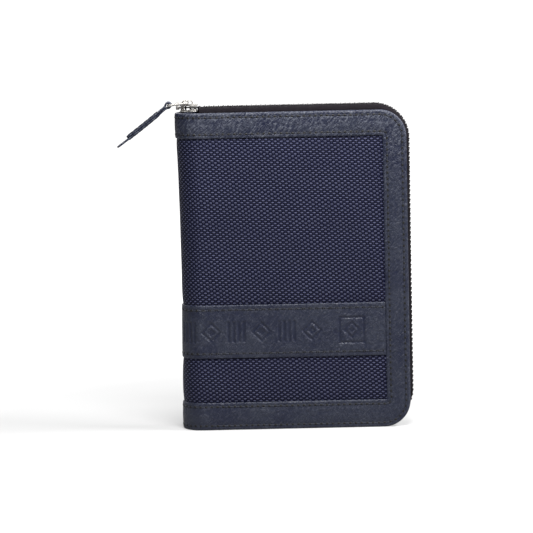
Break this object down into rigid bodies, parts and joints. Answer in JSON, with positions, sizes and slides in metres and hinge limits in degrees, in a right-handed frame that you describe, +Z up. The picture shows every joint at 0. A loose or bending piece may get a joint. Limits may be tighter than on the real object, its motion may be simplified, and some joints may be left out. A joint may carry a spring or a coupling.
{
  "type": "passport holder",
  "caption": "Zip-around passport holder with padded woven covers, leather trim, inner pockets and a zip slider with a leather pull.",
  "frame": {"origin": "on the bottom edge of the back cover, midway through the edge's thickness and midway across the covers", "axes": "+Z up along the spine, +X from the spine to the open edge, the front cover faces -Y"},
  "size_m": [0.1316, 0.02, 0.1496],
  "materials": {
    "leather": "grained, semi-matt, slate navy",
    "shell_fabric": "coarse ballistic weave, deep navy",
    "padding": "foam",
    "board": "stiff card",
    "lining": "smooth woven lining, black navy",
    "pocket": "thin smooth leather",
    "zip_tape": "ribbed woven tape, black brown",
    "zip_teeth": "moulded, black brown",
    "metal": "polished nickel"
  },
  "bodies": {
    "back_cover": {"back_leather_border": "leather", "back_leather_band": "leather", "back_fabric_panel": "shell_fabric", "back_padding": "padding", "back_board": "board", "back_lining": "lining", "slip_pocket": "lining", "passport_sleeve": "lining", "back_zip_tape": "zip_tape", "back_zip_teeth": "zip_teeth", "zip_top_stop": "metal", "zip_bottom_stop": "metal"},
    "spine": {"spine_leather_top": "leather", "spine_leather_band": "leather", "spine_leather_bottom": "leather", "spine_fabric": "shell_fabric", "spine_padding": "padding", "spine_lining": "lining"},
    "front_cover": {"front_leather_border": "leather", "front_leather_band": "leather", "front_fabric_panel": "shell_fabric", "front_padding": "padding", "front_board": "board", "front_lining": "lining", "card_pocket_1": "pocket", "card_pocket_2": "pocket", "card_pocket_3": "pocket", "card_pocket_4": "pocket", "front_zip_tape": "zip_tape", "front_zip_teeth": "zip_teeth"},
    "slider": {"slider_body": "metal", "slider_bridge": "metal"},
    "pull_link": {"pull_link": "metal"},
    "pull_strap": {"pull_strap": "leather"}
  },
  "joints": [
    {"name": "spine_fold", "type": "hinge", "parent": "back_cover", "child": "spine", "pos_m": [-0.04985, -0.0009, 0.072], "axis": [0, 0, -1], "range_deg": [0, 90]},
    {"name": "cover_open", "type": "hinge", "parent": "spine", "child": "front_cover", "pos_m": [-0.04985, -0.0166, 0.072], "axis": [0, 0, -1], "range_deg": [0, 90]},
    {"name": "slider_travel", "type": "slide", "parent": "back_cover", "child": "slider", "axis": [1, 0, 0], "range_m": [0, 0.078], "deforming": ["back_zip_teeth", "front_zip_teeth"]},
    {"name": "link_swing", "type": "hinge", "parent": "slider", "child": "pull_link", "pos_m": [-0.046, -0.00875, 0.1483], "axis": [0, 1, 0], "range_deg": [0, 172]},
    {"name": "strap_swing", "type": "hinge", "parent": "pull_link", "child": "pull_strap", "pos_m": [-0.05475, -0.00875, 0.14738], "axis": [0, 1, 0], "range_deg": [-51, 45]}
  ],
  "couplings": [
    {"joint": "cover_open", "follows": "spine_fold", "ratio": 1},
    {"joint": "slider_travel", "follows": "spine_fold", "m_per_rad": 0.04965},
    {"joint": "link_swing", "follows": "spine_fold", "ratio": 1.906}
  ]
}
